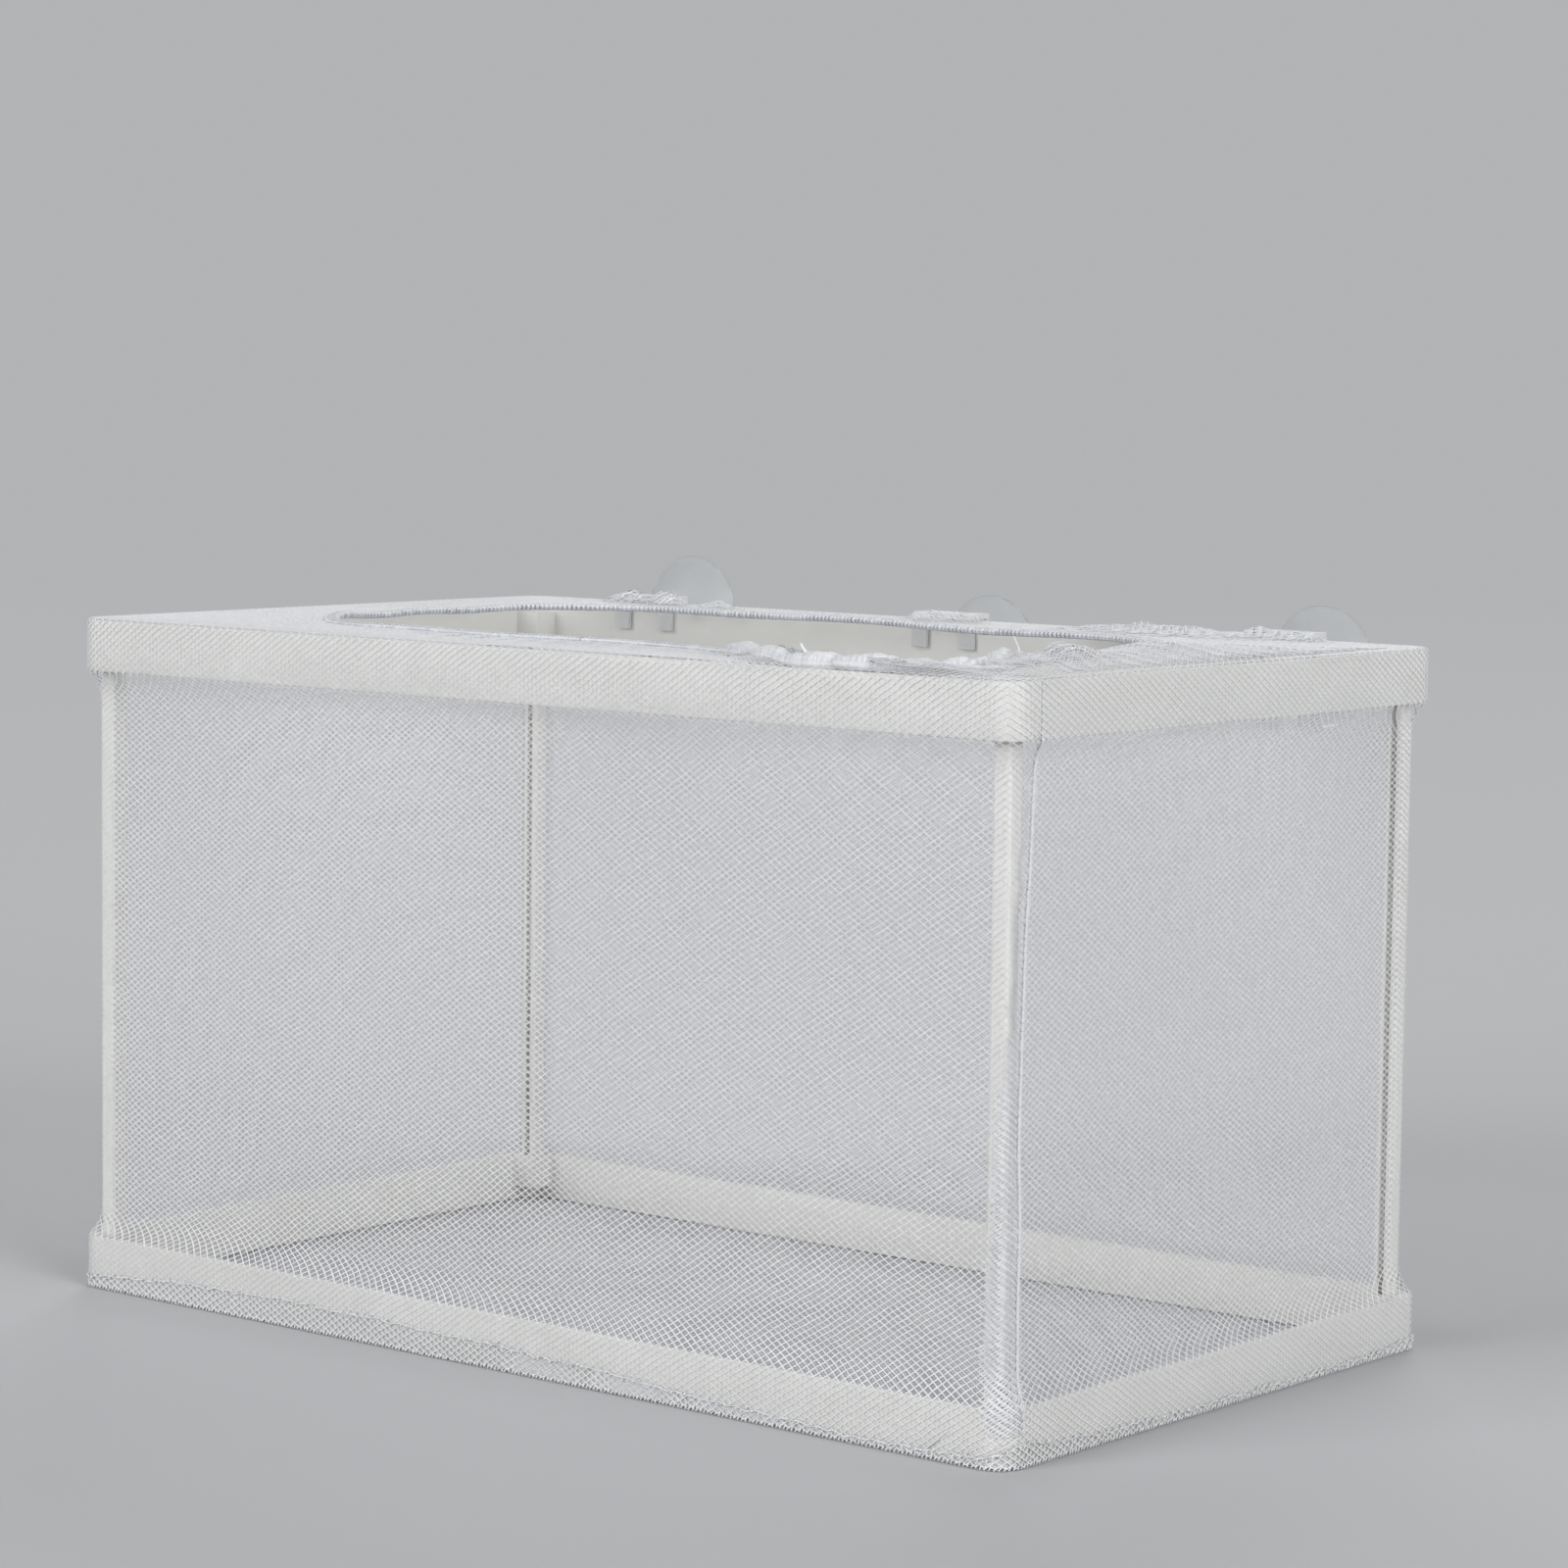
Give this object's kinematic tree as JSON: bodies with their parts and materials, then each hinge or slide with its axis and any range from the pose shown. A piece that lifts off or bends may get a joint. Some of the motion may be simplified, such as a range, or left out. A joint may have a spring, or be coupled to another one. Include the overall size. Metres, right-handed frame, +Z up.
{
  "type": "fish breeding box",
  "caption": "Rectangular aquarium breeding box: plastic frame of two rail rings and corner posts in a fine net bag with an elasticated mouth, hung by suction cups behind the back rail.",
  "frame": {"origin": "centre of the net floor's underside, where the box stands", "axes": "+X along the long side, +Y towards the aquarium glass, +Z up"},
  "size_m": [0.2518, 0.1609, 0.1561],
  "materials": {
    "frame_plastic": "satin off-white moulded plastic",
    "net": "fine white nylon net",
    "seam": "rolled white nylon net with white stitching",
    "elastic": "white covered elastic",
    "clear_hook": "clear gloss",
    "clear_cup": "clear soft gloss"
  },
  "bodies": {
    "box": {"lower_frame": "frame_plastic", "upper_frame": "frame_plastic", "post_front_left": "frame_plastic", "post_front_right": "frame_plastic", "post_back_left": "frame_plastic", "post_back_right": "frame_plastic", "net_front_wall": "net", "net_back_wall": "net", "net_left_wall": "net", "net_right_wall": "net", "net_floor": "net", "net_top_flap": "net", "mouth_hem": "seam", "mouth_elastic": "elastic", "side_seam": "seam", "floor_seam": "seam", "cup_hook_left": "clear_hook", "cup_hook_middle": "clear_hook", "cup_hook_right": "clear_hook"},
    "suction_cup_left": {"suction_cup_left": "clear_cup"},
    "suction_cup_middle": {"suction_cup_middle": "clear_cup"},
    "suction_cup_right": {"suction_cup_right": "clear_cup"}
  },
  "joints": [
    {"name": "suction_cup_left_height", "type": "slide", "parent": "box", "child": "suction_cup_left", "axis": [0, 0, 1], "range_m": [-0.0076, 0.0004]},
    {"name": "suction_cup_middle_height", "type": "slide", "parent": "box", "child": "suction_cup_middle", "axis": [0, 0, 1], "range_m": [-0.002, 0.006]},
    {"name": "suction_cup_right_height", "type": "slide", "parent": "box", "child": "suction_cup_right", "axis": [0, 0, 1], "range_m": [-0.0036, 0.0044]}
  ]
}
